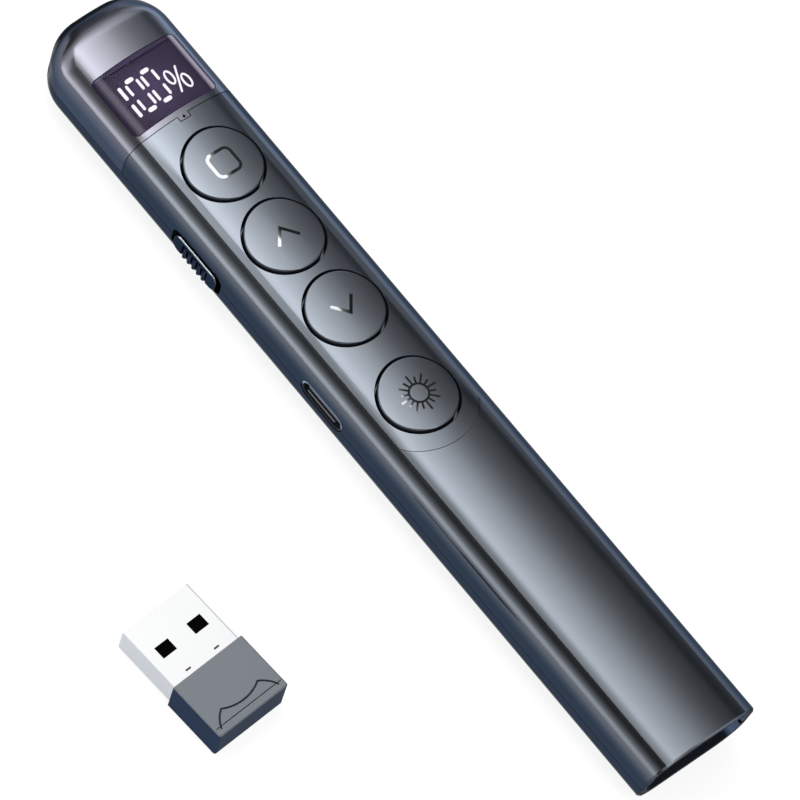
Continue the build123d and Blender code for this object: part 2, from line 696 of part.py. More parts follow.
def receiver_bay():
    block = casing(WALL + LOOSE) & stretch(BAY_MOUTH, BAY_HEAD)
    middle = THICKNESS / 2
    half_x = CAP_WIDTH / 2 + BAY_CLEAR
    half_z = CAP_HEIGHT / 2 + BAY_CLEAR
    pocket = box_between((-half_x, BAY_MOUTH - RUN_OUT, middle - half_z),
                         (half_x, BAY_MOUTH + BAY_DEPTH, middle + half_z))
    return block - pocket


PLUG_MID = CAP_HEIGHT / 2
DONGLE = Pos(DONGLE_X, DONGLE_Y, 0) * Rot(0, 0, DONGLE_TURN)


def cap_grip():
    """Thumb outline and a line beside the closed end, engraved in the cap's top."""
    (left, foot), (near, rise) = [(edge - CAP_WIDTH / 2, up - CAP_LENGTH)
                                  for edge, up in (GRIP_FOOT, GRIP_SHOULDER)]
    arch = ThreePointArc((near, rise), (0, GRIP_DIP - CAP_LENGTH), (-near, rise))
    long = math.hypot(near - left, rise - foot)
    side = (left + near) / 2 - GRIP_BULGE * (rise - foot) / long
    up = (foot + rise) / 2 + GRIP_BULGE * (near - left) / long
    path = (ThreePointArc((left, foot), (side, up), (near, rise)) + arch
            + ThreePointArc((-near, rise), (-side, up), (-left, foot)))
    line = Pos(0, GRIP_LINE_UP - CAP_LENGTH) * Rectangle(CAP_WIDTH - 2 * CAP_CORNER, GRIP_LINE)
    engraving = trace(path, GRIP_ARCH) + line
    return extrude(Pos(0, 0, CAP_HEIGHT - GRIP_CUT) * engraving, GRIP_CUT + LOOSE)


def receiver_cap():
    cap = box_between((-CAP_WIDTH / 2, -CAP_LENGTH, 0), (CAP_WIDTH / 2, 0, CAP_HEIGHT))
    cap = fillet(cap.edges().filter_by(Axis.Z).group_by(Axis.Y)[0], CAP_CORNER)
    cap = chamfer(cap.faces().sort_by(Axis.Z)[-1].edges().group_by(Axis.Y)[0], CAP_CORNER / 2)
    half_x = PLUG_WIDTH / 2 + SNUG
    half_z = PLUG_HEIGHT / 2 + SNUG
    hollow = box_between((-half_x, CAP_WALL - CAP_LENGTH, PLUG_MID - half_z),
                         (half_x, LOOSE, PLUG_MID + half_z))
    return DONGLE * (cap - hollow - cap_grip())


def receiver_shell():
    def tube(inset):
        half_x = PLUG_WIDTH / 2 - inset
        half_z = PLUG_HEIGHT / 2 - inset
        return box_between((-half_x, -PLUG_ROOT - inset, PLUG_MID - half_z),
                           (half_x, PLUG_LENGTH + inset, PLUG_MID + half_z))
    shell = tube(0) - tube(PLUG_SHEET)
    for side in (-1, 1):
        window = Pos(side * WINDOW_PITCH / 2, WINDOW_FROM_CAP, PLUG_MID) * Box(*WINDOW, 2 * CAP_HEIGHT)
        slit = Pos(side * SLIT_PITCH / 2, SLIT_FROM_CAP, CAP_HEIGHT) * Box(*SLIT, CAP_HEIGHT)
        shell = shell - window - slit
    return DONGLE * shell


PLUG_CEILING = PLUG_MID + PLUG_HEIGHT / 2 - PLUG_SHEET


def receiver_tongue():
    """The insulator fills the upper half of the plug, its contacts look down."""
    half = PLUG_WIDTH / 2 - PLUG_SHEET - SNUG
    return DONGLE * box_between((-half, -PLUG_ROOT, PLUG_CEILING - PLUG_TONGUE),
                                (half, PLUG_LENGTH - PLUG_SETBACK, PLUG_CEILING))


def receiver_contacts():
    width, reach, thick = PLUG_CONTACT
    low = PLUG_CEILING - PLUG_TONGUE - thick
    y = PLUG_LENGTH - PLUG_SETBACK - LOOSE - reach / 2
    middle = (PLUG_CONTACTS - 1) / 2
    return [DONGLE * Pos((n - middle) * PLUG_CONTACT_PITCH, y, low) * Box(width, reach, thick, align=ON)
            for n in range(PLUG_CONTACTS)]


DONGLE_BOARD_LOW = PLUG_CEILING - SNUG - DONGLE_BOARD


def receiver_board():
    half = PLUG_WIDTH / 2 - 2 * PLUG_SHEET
    return DONGLE * box_between((-half, CAP_WALL - CAP_LENGTH + LOOSE, DONGLE_BOARD_LOW),
                                (half, -PLUG_ROOT - SNUG, PLUG_CEILING - SNUG))


def receiver_chip():
    y = (CAP_WALL - CAP_LENGTH - PLUG_ROOT) / 2
    return DONGLE * Pos(0, y, DONGLE_BOARD_LOW - DONGLE_CHIP[2]) * Box(*DONGLE_CHIP, align=ON)


def all_nodes():
    nodes = {
        "back_shell": back_shell(),
        "front_shell": front_shell(),
        "head_cover": head_cover(),
        "display_lens": display_lens(),
        "display_frame": display_frame(),
        "display_digits": display_digits(),
        "display_board": display_board(),
        "display_connector": display_connector(),
        "indicator_led": indicator_led(),
        "indicator_light_pipe": indicator_light_pipe(),
        "laser_barrel": laser_barrel(),
        "laser_lens": laser_lens(),
        "laser_bezel": laser_bezel(),
        "main_board": main_board(),
        "board_screws": board_screws(),
        "radio_chip": chip(0, (KEY_Y[1] + KEY_Y[2]) / 2, RADIO_CHIP),
        "charge_chip": chip(CHARGE_CHIP, PORT_Y, CHARGE_CHIP),
        "clock_crystal": chip(CRYSTAL_SIDE, (KEY_Y[0] + KEY_Y[1]) / 2, CRYSTAL_SIDE),
        "board_passives": board_passives(),
        "power_slider": power_slider(),
        "slide_switch_lever": slide_switch_lever(),
        "slide_switch_frame": slide_switch_frame(),
        "usb_port_shell": usb_port_shell(),
        "usb_port_tongue": usb_port_tongue(),
        "usb_port_contacts": usb_port_contacts(),
        "battery_cell": battery_cell(),
        "battery_pad": battery_pad(),
        "battery_tabs": battery_tabs(),
        "receiver_bay": receiver_bay(),
        "receiver_cap": receiver_cap(),
        "receiver_shell": receiver_shell(),
        "receiver_tongue": receiver_tongue(),
        "receiver_contacts": receiver_contacts(),
        "receiver_board": receiver_board(),
        "receiver_chip": receiver_chip(),
    }
    for n, name in enumerate(KEYS):
        nodes[name + "_button"] = key_button(n)
        nodes[name + "_icon"] = key_icon(n)
        nodes[name + "_switch_plunger"] = switch_plunger(KEY_Y[n])
        nodes[name + "_switch_base"] = switch_base(KEY_Y[n])
    return nodes


def solids_of(shape):
    parts = shape if isinstance(shape, list) else [shape]
    return [solid for part in parts for solid in part.solids()]


os.makedirs("parts", exist_ok=True)
for name, shape in all_nodes().items():
    solids = solids_of(shape)
    whole = solids[0] if len(solids) == 1 else Compound(solids)
    export_step(whole, os.path.join("parts", name + ".step"))
    print(name, len(solids), round(sum(solid.volume for solid in solids), 2))
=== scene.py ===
import math

import bpy
from mathutils import Matrix, Vector


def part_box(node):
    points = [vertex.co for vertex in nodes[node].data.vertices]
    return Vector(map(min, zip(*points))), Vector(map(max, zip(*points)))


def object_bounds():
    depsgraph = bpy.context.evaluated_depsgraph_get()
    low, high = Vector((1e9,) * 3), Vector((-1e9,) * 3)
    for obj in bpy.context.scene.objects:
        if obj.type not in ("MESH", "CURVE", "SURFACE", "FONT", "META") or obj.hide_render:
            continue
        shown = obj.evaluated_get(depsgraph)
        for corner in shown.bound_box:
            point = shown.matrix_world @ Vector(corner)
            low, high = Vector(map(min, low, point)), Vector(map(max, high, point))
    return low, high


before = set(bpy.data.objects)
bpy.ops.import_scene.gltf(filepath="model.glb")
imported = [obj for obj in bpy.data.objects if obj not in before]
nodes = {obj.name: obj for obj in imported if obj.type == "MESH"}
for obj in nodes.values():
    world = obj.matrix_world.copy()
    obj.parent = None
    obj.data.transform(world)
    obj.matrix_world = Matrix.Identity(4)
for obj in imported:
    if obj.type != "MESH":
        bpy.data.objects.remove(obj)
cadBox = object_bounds()
keyNames = ["window", "page_up", "page_down", "spotlight"]
print("frame loaded:", len(nodes), "nodes")


# In the dictionaries below lengths are in metres and angles in degrees, and a pair of numbers says
# where an effect starts and where it ends. +X is right of the keys, +Y towards the head, +Z up


# Small helpers for shader trees

def addNode(tree, kind, place=(0, 0), **settings):
    node = tree.nodes.new(kind)
    node.location = place
    for name, value in settings.items():
        setattr(node, name, value)
    return node


def feed(tree, socket, value):
    if isinstance(value, bpy.types.NodeSocket):
        tree.links.new(value, socket)
    elif isinstance(value, tuple) and socket.type == "RGBA":
        socket.default_value = (*value, 1.0)
    else:
        socket.default_value = value


def mathNode(tree, operation, first, second=0.0, place=(0, 0)):
    node = addNode(tree, "ShaderNodeMath", place, operation=operation)
    feed(tree, node.inputs[0], first)
    feed(tree, node.inputs[1], second)
    return node.outputs[0]


def overlap(tree, masks, place=(0, 0)):
    total = masks[0]
    for mask in masks[1:]:
        total = mathNode(tree, "MULTIPLY", total, mask, place)
    return total


def ramp(tree, value, low, high, place=(0, 0), start=0.0, end=1.0):
    node = addNode(tree, "ShaderNodeMapRange", place, interpolation_type="SMOOTHSTEP")
    numbers = {"Value": value, "From Min": low, "From Max": high, "To Min": start, "To Max": end}
    for label, number in numbers.items():
        feed(tree, node.inputs[label], number)
    return node.outputs["Result"]


def fade(tree, value, low, high, place=(0, 0)):
    return ramp(tree, value, low, high, place, 1.0, 0.0)


def mixColour(tree, factor, first, second, place=(0, 0), blend="MIX"):
    node = addNode(tree, "ShaderNodeMix", place, data_type="RGBA", blend_type=blend)
    for slot, value in ((0, factor), (6, first), (7, second)):  # 6 and 7 are the colour sockets
        feed(tree, node.inputs[slot], value)
    return node.outputs[2]


def mixNumber(tree, factor, first, second, place=(0, 0)):
    node = addNode(tree, "ShaderNodeMix", place, data_type="FLOAT")
    for slot, value in ((0, factor), (2, first), (3, second)):  # 2 and 3 are the number sockets
        feed(tree, node.inputs[slot], value)
    return node.outputs[0]


def splitAxes(tree, vector, place):
    split = addNode(tree, "ShaderNodeSeparateXYZ", place)
    tree.links.new(vector, split.inputs[0])
    return [split.outputs[axis] for axis in "XYZ"]


def objectPlace(tree, place=(-1500, 0)):
    where = addNode(tree, "ShaderNodeTexCoord", place).outputs["Object"]
    return splitAxes(tree, where, (place[0] + 180, place[1]))


def normalParts(tree, place=(-1500, -600)):
    normal = addNode(tree, "ShaderNodeNewGeometry", place).outputs["Normal"]
    return splitAxes(tree, normal, (place[0] + 180, place[1]))


def newGroup(name, sockets):
    tree = bpy.data.node_groups.new(name, "ShaderNodeTree")
    for label, direction, start in sockets:
        socket = tree.interface.new_socket(name=label, in_out=direction, socket_type="NodeSocketFloat")
        if start is not None:
            socket.default_value = start
    return tree, addNode(tree, "NodeGroupInput", (-900, 0)), addNode(tree, "NodeGroupOutput", (700, 0))


def placeGroup(tree, group, place, values):
    node = addNode(tree, "ShaderNodeGroup", place, node_tree=group)
    for label, value in values.items():
        node.inputs[label].default_value = value
    return node


def newMaterial(name, sockets):
    material = bpy.data.materials.new(name)
    material.use_nodes = True
    tree = material.node_tree
    shader = tree.nodes["Principled BSDF"]
    for label, value in sockets.items():
        feed(tree, shader.inputs[label], value)
    return material, tree, shader


# Fine grain that a sprayed or moulded surface has: a mask of flakes and a slow cloud

grainLook = {"maskDetail": 2.0, "cloudDetail": 3.0, "cloudRange": (0.3, 0.7)}


def makeGrainGroup(look):
    tree, entry, result = newGroup("surfaceGrain", [
        ("Grain Size", "INPUT", 0.0001), ("Cloud Size", "INPUT", 0.01),
        ("Mask", "OUTPUT", None), ("Cloud", "OUTPUT", None)])
    where = addNode(tree, "ShaderNodeTexCoord", (-900, -300)).outputs["Object"]
    for label, size, detail, row in (("Mask", "Grain Size", look["maskDetail"], 200),
                                     ("Cloud", "Cloud Size", look["cloudDetail"], -200)):
        noise = addNode(tree, "ShaderNodeTexNoise", (-300, row))
        noise.inputs["Detail"].default_value = detail
        tree.links.new(where, noise.inputs["Vector"])
        scale = mathNode(tree, "DIVIDE", 1.0, entry.outputs[size], (-600, row))
        tree.links.new(scale, noise.inputs["Scale"])
        tree.links.new(noise.outputs["Fac"], result.inputs[label])
    return tree


grainGroup = makeGrainGroup(grainLook)


def addGrain(tree, shader, look):
    grain = placeGroup(tree, grainGroup, (-1200, -200),
                       {"Grain Size": look["grainSize"], "Cloud Size": look["cloudSize"]})
    bump = addNode(tree, "ShaderNodeBump", (-300, -500))
    bump.inputs["Strength"].default_value = look["grainBump"]
    bump.inputs["Distance"].default_value = look["grainDepth"]
    tree.links.new(grain.outputs["Mask"], bump.inputs["Height"])
    tree.links.new(bump.outputs["Normal"], shader.inputs["Normal"])
    low, high = look["roughness"] - look["roughnessSpread"], look["roughness"] + look["roughnessSpread"]
    rough = ramp(tree, grain.outputs["Cloud"], *grainLook["cloudRange"], (-900, -300), low, high)
    return grain, rough, bump


# Metallic coats and polished steel. The colour turns to edgeColour where the surface turns away. A second
# mask says where another look shows instead: bare plastic on the casing and on the sides of the keys, and
# painted shade, a painted highlight or a painted reflection elsewhere. A third mask says which part of that
# is a paler painted reflection

coatLook = {
    "colour": (0.124, 0.135, 0.151),
    "edgeColour": (0.048, 0.065, 0.098), "edgeStart": 0.12, "edgeEnd": 0.46,
    "grazing": 0.42,  # share of the grazing light that comes back
    "roughness": 0.15, "roughnessSpread": 0.008,
    "grainSize": 0.00012, "cloudSize": 0.012, "grainBump": 0.02, "grainDepth": 0.00001,
    "flakeDark": 0.96, "flakeLight": 1.04,
    "bareAndPaintedColour": (0.007, 0.010, 0.017), "bareAndPaintedRoughness": 0.9, "bareAndPaintedMetallic": 0.0,
    "paintedLightMask": None, "tipLeanAndShade": None,
}


def makeCoat(name, look):
    material, tree, shader = newMaterial(name, {})
    grain, rough, bump = addGrain(tree, shader, look)
    facing = addNode(tree, "ShaderNodeLayerWeight", (-1200, 300)).outputs["Facing"]
    turn = ramp(tree, facing, look["edgeStart"], look["edgeEnd"], (-1000, 300))
    colour = mixColour(tree, turn, look["colour"], look["edgeColour"], (-800, 300))
    dark, light = (look["flakeDark"],) * 3, (look["flakeLight"],) * 3
    spark = mixColour(tree, grain.outputs["Mask"], dark, light, (-800, 80))
    colour = mixColour(tree, 1.0, colour, spark, (-600, 200), "MULTIPLY")
    # the second look is bare plastic, painted shade, a painted highlight or a painted reflection, as each
    # part's mask gives
    bare = look["bareAndPaintedMask"](tree, look)
    inner = look["bareAndPaintedColour"]
    if look["paintedLightMask"]:
        inner = mixColour(tree, look["paintedLightMask"](tree, look), inner, look["paintedLightColour"], (-600, 0))
    colour = mixColour(tree, bare, colour, inner, (-400, 200))
    rough = mixNumber(tree, bare, rough, look["bareAndPaintedRoughness"], (-400, -100))
    metallic = 1.0
    if look["bareAndPaintedMetallic"] < 1.0:
        metallic = mixNumber(tree, bare, 1.0, look["bareAndPaintedMetallic"], (-400, 0))
    # the head's end: its shading normal leans, and what faces ahead is painted shade
    tip = look["tipLeanAndShade"]
    if tip:
        feed(tree, bump.inputs["Normal"], tipNormal(tree, tip))
        _, ahead, _ = normalParts(tree)
        turned = ramp(tree, ahead, *tip["shade"], (-1000, -700))
        colour = mixColour(tree, turned, colour, tip["colour"], (-200, 300))
        rough = mixNumber(tree, turned, rough, tip["roughness"], (-200, -100))
    feed(tree, shader.inputs["Base Color"], colour)
    feed(tree, shader.inputs["Roughness"], rough)
    feed(tree, shader.inputs["Metallic"], metallic)
    feed(tree, shader.inputs["Specular Tint"], (look["grazing"],) * 3)
    return material


# Casing: its plastic is bare inside the walls, on the rim of the open tail and in the key holes

casingLook = {
    "crownRadius": 0.024, "tailSlant": 7.4, "rimFacing": (0.9, 0.97),
    # a key hole's wall is within holeReach of the middle, and further than tipLeft from the head's end
    "holeReach": 0.0086, "tipLeft": 0.005,
    "steep": (0.5, 0.6),  # a surface is upright where its normal leans up or down by less than this
}


# How far a point lies from the axis that the key face is curved about

def crownReach(tree, x, z, place=(-500, 150)):
    across, row = place
    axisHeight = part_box("front_shell")[1][2] - casingLook["crownRadius"]
    lift = mathNode(tree, "SUBTRACT", z, axisHeight, place)
    squares = mathNode(tree, "ADD", mathNode(tree, "POWER", x, 2.0, (across + 150, row)),
                       mathNode(tree, "POWER", lift, 2.0, (across + 150, row - 100)), (across + 300, row))
    return mathNode(tree, "SQRT", squares, place=(across + 450, row))


def upright(tree, place=(-1200, -600)):
    _, _, up = normalParts(tree, (place[0] - 300, place[1]))
    lean = mathNode(tree, "ABSOLUTE", up, place=place)
    return fade(tree, lean, *casingLook["steep"], (place[0] + 180, place[1]))


def makeBareGroup(look):
    tree, entry, result = newGroup("bareInside", [
        ("Wall", "INPUT", 0.0014), ("Blend", "INPUT", 0.00004), ("Mask", "OUTPUT", None)])
    x, y, z = objectPlace(tree, (-900, 0))
    width = mathNode(tree, "ABSOLUTE", x, place=(-500, 300))
    side = mathNode(tree, "SUBTRACT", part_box("front_shell")[1][0], width, (-350, 300))
    under = mathNode(tree, "SUBTRACT", look["crownRadius"], crownReach(tree, x, z), (100, 100))
    ahead = mathNode(tree, "SUBTRACT", cadBox[1][1], y, (-350, -100))
    depth = side
    for other in (z, under, ahead):
        depth = mathNode(tree, "MINIMUM", depth, other, (250, 0))
    thin = mathNode(tree, "SUBTRACT", entry.outputs["Wall"], entry.outputs["Blend"], (250, 200))
    thick = mathNode(tree, "ADD", entry.outputs["Wall"], entry.outputs["Blend"], (250, 300))
    inside = ramp(tree, depth, thin, thick, (400, 0))
    slant = math.radians(look["tailSlant"])
    facing = addNode(tree, "ShaderNodeVectorMath", (250, -250), operation="DOT_PRODUCT")
    normal = addNode(tree, "ShaderNodeNewGeometry", (50, -250)).outputs["Normal"]
    tree.links.new(normal, facing.inputs[0])
    facing.inputs[1].default_value = (0, -math.cos(slant), -math.sin(slant))
    rim = ramp(tree, facing.outputs["Value"], *look["rimFacing"], (400, -250))
    middle = mathNode(tree, "LESS_THAN", width, look["holeReach"], (-350, -400))
    behind = mathNode(tree, "GREATER_THAN", ahead, look["tipLeft"], (-200, -400))
    hole = overlap(tree, [middle, behind, upright(tree)], (150, -400))
    total = mathNode(tree, "MAXIMUM", inside, rim, (550, 0))
    total = mathNode(tree, "MAXIMUM", total, hole, (600, -100))
    tree.links.new(total, result.inputs["Mask"])
    return tree


bareGroup = makeBareGroup(casingLook)


def casingBare(tree, look):
    values = {"Wall": look["wall"], "Blend": look["wallBlend"]}
    return placeGroup(tree, bareGroup, (-700, -100), values).outputs["Mask"]


shellLook = {**coatLook, "bareAndPaintedMask": casingBare, "wall": 0.0014, "wallBlend": 0.00004}


# Body: the inner face of the right wall at the tail has a painted reflection, a paler blue

def tailInnerPaintedReflection(tree, look):
    x, y, _ = objectPlace(tree)
    right, _, _ = normalParts(tree)
    return overlap(tree, [
        ramp(tree, x, *look["litFrom"], (-1100, -600)),
        fade(tree, y, *look["litTail"], (-1100, -800)),
        fade(tree, right, *look["litFacing"], (-1100, -1000))], (-700, -600))


bodyLook = {**shellLook, "paintedLightMask": tailInnerPaintedReflection, "paintedLightColour": (0.16, 0.25, 0.42),
            "litFrom": (0.0070, 0.0080), "litTail": (-0.060, -0.055), "litFacing": (-0.5, -0.3)}
bodyCoat = makeCoat("bodyCoat", bodyLook)


# Head: its shading normal turns its end over a little earlier than its edge round begins, and where it faces
# ahead it is painted shade, dark and matt

def tipNormal(tree, look):
    _, y, _ = objectPlace(tree, (-1500, -900))
    tip = cadBox[1][1]
    normal = addNode(tree, "ShaderNodeNewGeometry", (-1500, -1100)).outputs["Normal"]
    _, _, up = splitAxes(tree, normal, (-1300, -1100))
    rise = ramp(tree, y, tip - look["start"], tip - look["full"], (-1100, -900), 0.0, look["lean"])
    end = fade(tree, y, tip - look["full"], tip - look["end"], (-1100, -1000))
    push = addNode(tree, "ShaderNodeCombineXYZ", (-700, -900))
    tree.links.new(overlap(tree, [rise, end, up], (-900, -900)), push.inputs["Y"])
    total = addNode(tree, "ShaderNodeVectorMath", (-500, -900), operation="ADD")
    tree.links.new(normal, total.inputs[0])
    tree.links.new(push.outputs[0], total.inputs[1])
    final = addNode(tree, "ShaderNodeVectorMath", (-300, -900), operation="NORMALIZE")
    tree.links.new(total.outputs[0], final.inputs[0])
    return final.outputs[0]


headLook = {
    **shellLook, "colour": (0.137, 0.136, 0.156), "edgeColour": (0.078, 0.099, 0.150),
    # start, full and end are measured back from the head's end, and shade is how far a normal faces ahead
    # where the painted shade starts and is full; colour and roughness are the painted shade's
    "tipLeanAndShade": {"start": 0.00565, "full": 0.00305, "end": 0.0014, "lean": 0.36,
                 "shade": (0.45, 0.7), "colour": (0.012, 0.015, 0.021), "roughness": 0.5},
}
headCoat = makeCoat("headCoat", headLook)


# Keys: their upright sides are bare, and what faces right is painted shade in the same dark colour

def keySideAndShade(tree, look):
    right, _, _ = normalParts(tree)
    turned = ramp(tree, right, *look["shadeFacing"], (-1000, -700))
    return mathNode(tree, "MAXIMUM", upright(tree), turned, (-800, -700))


keyLook = {**coatLook, "bareAndPaintedMask": keySideAndShade, "shadeFacing": (0.28, 0.34)}
keyCoat = makeCoat("keyCoat", keyLook)


# Slider: a painted highlight, a bright metal line, on the upper edge of its knob

def knobEdgeHighlight(tree, look):
    x, y, z = objectPlace(tree)
    _, _, up = normalParts(tree)
    low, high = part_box("power_slider")
    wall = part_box("front_shell")[0][0]
    start, end = look["edgeBelow"]
    reach = mathNode(tree, "ABSOLUTE", mathNode(tree, "SUBTRACT", y, (low[1] + high[1]) / 2))
    return overlap(tree, [
        ramp(tree, up, *look["edgeFacing"], (-1100, -600)),
        fade(tree, x, wall - look["edgeOut"], wall, (-1100, -700)),
        ramp(tree, z, high[2] - start, high[2] - end, (-1100, -800)),
        fade(tree, reach, *look["edgeReach"], (-1100, -900))], (-900, -600))


knobLook = {
    **coatLook, "colour": (0.07, 0.08, 0.10), "edgeColour": (0.030, 0.042, 0.070),
    # the bright metal here is the painted highlight
    "bareAndPaintedMask": knobEdgeHighlight, "bareAndPaintedColour": (0.55, 0.57, 0.60), "bareAndPaintedRoughness": 0.2, "bareAndPaintedMetallic": 1.0,
    "edgeFacing": (0.7, 0.8), "edgeOut": 0.0001, "edgeBelow": (0.0008, 0.00075),
    "edgeReach": (0.0039, 0.0044),
}
knobCoat = makeCoat("knobCoat", knobLook)


# Receiver's cap: the floor of its grip mark is painted shade, dark

def grooveFloorShade(tree, look):
    _, _, z = objectPlace(tree)
    _, _, up = normalParts(tree)
    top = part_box("receiver_cap")[1][2]
    start, end = look["grooveBelow"]
    return overlap(tree, [
        ramp(tree, up, *look["grooveFacing"], (-1100, -600)),
        fade(tree, z, top - start, top - end, (-1100, -700))], (-900, -600))


capLook = {
    **coatLook, "colour": (0.132, 0.144, 0.156), "edgeColour": (0.040, 0.058, 0.100),
    "roughness": 0.35, "roughnessSpread": 0.03,
    # the dark colour is painted shade in the grip mark
    "bareAndPaintedMask": grooveFloorShade, "bareAndPaintedColour": (0.012, 0.016, 0.026), "bareAndPaintedRoughness": 0.5,
    "grooveFacing": (0.9, 0.95), "grooveBelow": (0.00006, 0.00003),
}
capCoat = makeCoat("capCoat", capLook)


# Receiver's plug: a painted dark reflection along the fold at the right edge of its top. The receiver lies
# turned on the floor, so it has its own directions: right, across the plug, and out, along it

def plugPlace(tree, right, out):
    x, y, _ = objectPlace(tree)
    turn = math.radians(plugLook["turn"])
    along = addNode(tree, "ShaderNodeVectorMath", (-900, -800), operation="DOT_PRODUCT")
    where = addNode(tree, "ShaderNodeCombineXYZ", (-1050, -800))
    feed(tree, where.inputs["X"], mathNode(tree, "SUBTRACT", x, plugLook["middle"][0], (-1200, -750)))
    feed(tree, where.inputs["Y"], mathNode(tree, "SUBTRACT", y, plugLook["middle"][1], (-1200, -900)))
    tree.links.new(where.outputs[0], along.inputs[0])
    along.inputs[1].default_value = (right * math.cos(turn) - out * math.sin(turn),
                                     right * math.sin(turn) + out * math.cos(turn), 0.0)
    return along.outputs["Value"]


def plugFoldReflection(tree, look):
    edge = look["halfWidth"] - look["fold"]
    across = plugPlace(tree, 1, 0)
    return ramp(tree, across, edge - look["foldBlend"], edge + look["foldBlend"], (-700, -800))


plugLook = {
    **coatLook, "colour": (0.60, 0.595, 0.59),
    "edgeColour": (0.53, 0.555, 0.60), "edgeStart": 0.3, "edgeEnd": 0.5,
    "grazing": 1.0, "roughness": 0.25, "flakeDark": 0.99, "flakeLight": 1.01,
    # the darker steel is the painted reflection
    "bareAndPaintedMask": plugFoldReflection, "bareAndPaintedColour": (0.36, 0.37, 0.38), "bareAndPaintedRoughness": 0.3, "bareAndPaintedMetallic": 1.0,
    "turn": 4.0, "middle": (-0.04692, -0.0186),  # of the plug's top, along X and Y
    "halfWidth": 0.006, "fold": 0.0002, "foldBlend": 0.00003,
}
plugSteel = makeCoat("plugSteel", plugLook)


# Charging socket: its lower part is painted shade, with a painted reflection, a grey line, on its lower
# inner face

def portShade(tree, look):
    _, _, z = objectPlace(tree)
    low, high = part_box("usb_port_shell")
    middle = (low[2] + high[2]) / 2
    start, end = look["shade"]
    return fade(tree, z, middle + start, middle + end, (-1100, -600))


def portReflectionLine(tree, look):
    x, y, _ = objectPlace(tree)
    low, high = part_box("usb_port_shell")
    behind = mathNode(tree, "SUBTRACT", x, low[0] + look["lineBehind"])
    beside = mathNode(tree, "SUBTRACT", y, (low[1] + high[1]) / 2 + look["lineShift"])
    return overlap(tree, [
        fade(tree, mathNode(tree, "ABSOLUTE", behind), *look["lineWidth"], (-900, -600)),
        fade(tree, mathNode(tree, "ABSOLUTE", beside), *look["lineLength"], (-900, -800))], (-700, -600))


portLook = {
    **coatLook, "colour": (0.42, 0.49, 0.64), "edgeColour": (0.38, 0.46, 0.62),
    "bareAndPaintedMask": portShade, "bareAndPaintedColour": (0.010, 0.012, 0.018), "bareAndPaintedRoughness": 0.6,
    "shade": (-0.0004, 0.0007),  # from the socket's middle height
    "paintedLightMask": portReflectionLine, "paintedLightColour": (0.36, 0.38, 0.42), "lineBehind": 0.0005, "lineShift": 0.0004,
    "lineWidth": (0.00009, 0.00014), "lineLength": (0.0029, 0.0031),  # from the line's own middle
}
portSteel = makeCoat("portSteel", portLook)
print("coats made")


# Plain finishes of plastic and metal, and clear plastic

plainLook = {"grainSize": 0.0002, "cloudSize": 0.004, "grainBump": 0.1, "grainDepth": 0.00002,
             "roughnessSpread": 0.04, "spread": 0.05, "metallic": 0.0}
metalLook = {**plainLook, "grainBump": 0.03, "metallic": 1.0}
plasticLooks = {
    "matBlack": {"colour": (0.008, 0.008, 0.010), "roughness": 0.55},
    "tongueGrey": {"colour": (0.10, 0.10, 0.13), "roughness": 0.5},
    "softBlack": {"colour": (0.015, 0.015, 0.017), "roughness": 0.4},
    "chipBlack": {"colour": (0.02, 0.02, 0.022), "roughness": 0.5},
    "boardGreen": {"colour": (0.015, 0.13, 0.055), "roughness": 0.3},
    "whitePart": {"colour": (0.75, 0.74, 0.70), "roughness": 0.45},
    "foamGrey": {"colour": (0.04, 0.04, 0.04), "roughness": 0.9},
}
metalLooks = {
    "platedSteel": {"colour": (0.74, 0.75, 0.78), "roughness": 0.22},
    "brassTurned": {"colour": (0.70, 0.48, 0.18), "roughness": 0.25},
    "goldFlash": {"colour": (0.95, 0.68, 0.26), "roughness": 0.2},
    "batteryFoil": {"colour": (0.62, 0.63, 0.66), "roughness": 0.4},
}
clearLook = {"colour": (0.92, 0.94, 0.96), "roughness": 0.08}


def makePlain(name, look):
    material, tree, shader = newMaterial(name, {"Metallic": look["metallic"]})
    grain, rough, _ = addGrain(tree, shader, look)
    dark = tuple(c * (1 - look["spread"]) for c in look["colour"])
    light = tuple(c * (1 + look["spread"]) for c in look["colour"])
    colour = mixColour(tree, grain.outputs["Cloud"], dark, light, (-300, 200))
    feed(tree, shader.inputs["Base Color"], colour)
    feed(tree, shader.inputs["Roughness"], rough)
    return material


plain = {}
for name, look in plasticLooks.items():
    plain[name] = makePlain(name, {**plainLook, **look})
for name, look in metalLooks.items():
    plain[name] = makePlain(name, {**metalLook, **look})
clearPlastic, _, _ = newMaterial("clearPlastic", {
    "Base Color": clearLook["colour"], "Roughness": clearLook["roughness"], "Transmission Weight": 1.0})


# The black insulator shows in the plug's two windows, and greyer through its slits

tongueLook = {**plainLook, "colour": (0.002, 0.002, 0.002), "roughness": 0.6,
              "slitColour": (0.16, 0.16, 0.16), "slitEnd": (0.0018, 0.0019)}  # out from the plug's middle


def makeTongue(look):
    material, tree, shader = newMaterial("tongueBlack", {"Specular IOR Level": 0.0})
    _, rough, _ = addGrain(tree, shader, look)
    near = fade(tree, plugPlace(tree, 0, 1), *look["slitEnd"], (-700, 300))
    colour = mixColour(tree, near, look["colour"], look["slitColour"], (-300, 200))
    feed(tree, shader.inputs["Base Color"], colour)
    feed(tree, shader.inputs["Roughness"], rough)
    return material


tongueBlack = makeTongue(tongueLook)
print("plain finishes made")


# Polished icon inlays, each with a ridge along the clicker, and painted shade, a darker colour, to the right
# of it

